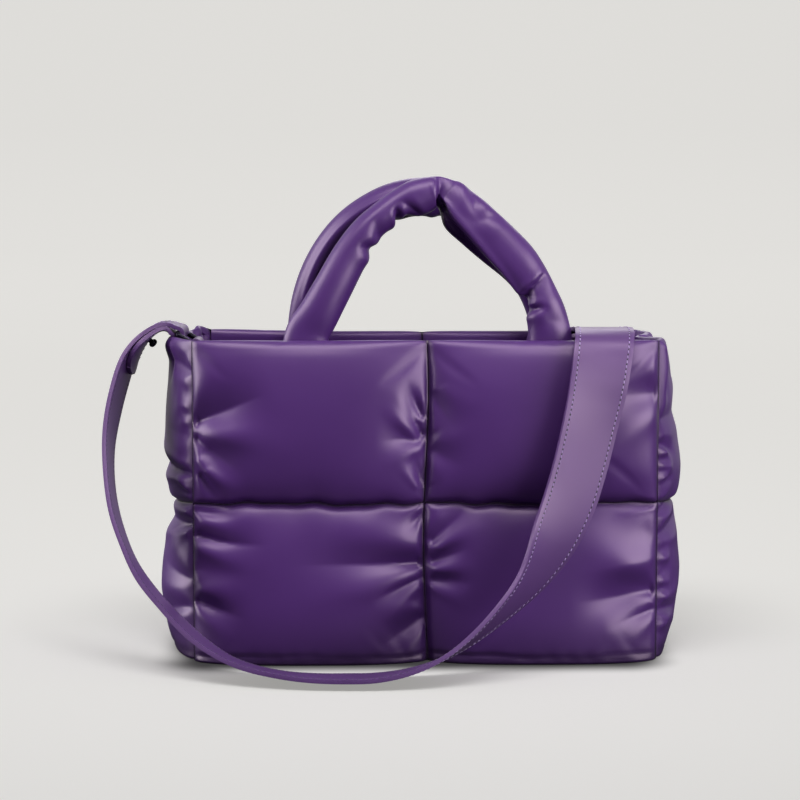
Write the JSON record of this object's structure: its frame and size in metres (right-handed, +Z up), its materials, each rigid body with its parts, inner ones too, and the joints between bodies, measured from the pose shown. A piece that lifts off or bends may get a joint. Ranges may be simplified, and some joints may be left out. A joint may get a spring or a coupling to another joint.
{
  "type": "quilted handbag",
  "caption": "Soft quilted leather handbag with padded walls, two padded carrying handles and a flat shoulder strap draped over its front.",
  "frame": {"origin": "on the floor, under the middle of the flat base", "axes": "+X to the bag's right seen from the front, +Y from the front to the back, +Z up"},
  "size_m": [0.4424, 0.2734, 0.36],
  "materials": {
    "puffer_leather": "smooth satin",
    "strap_leather": "smooth satin",
    "dark_metal": "dark gloss"
  },
  "bodies": {
    "root": {"front_panel": "puffer_leather", "back_panel": "puffer_leather", "left_gusset": "puffer_leather", "right_gusset": "puffer_leather", "base_panel": "puffer_leather", "front_handle": "puffer_leather", "rear_handle": "puffer_leather", "shoulder_strap": "strap_leather", "left_ring_tab": "strap_leather", "right_ring_tab": "strap_leather", "left_ring": "dark_metal", "right_ring": "dark_metal", "strap_stud": "dark_metal"}
  },
  "joints": []
}
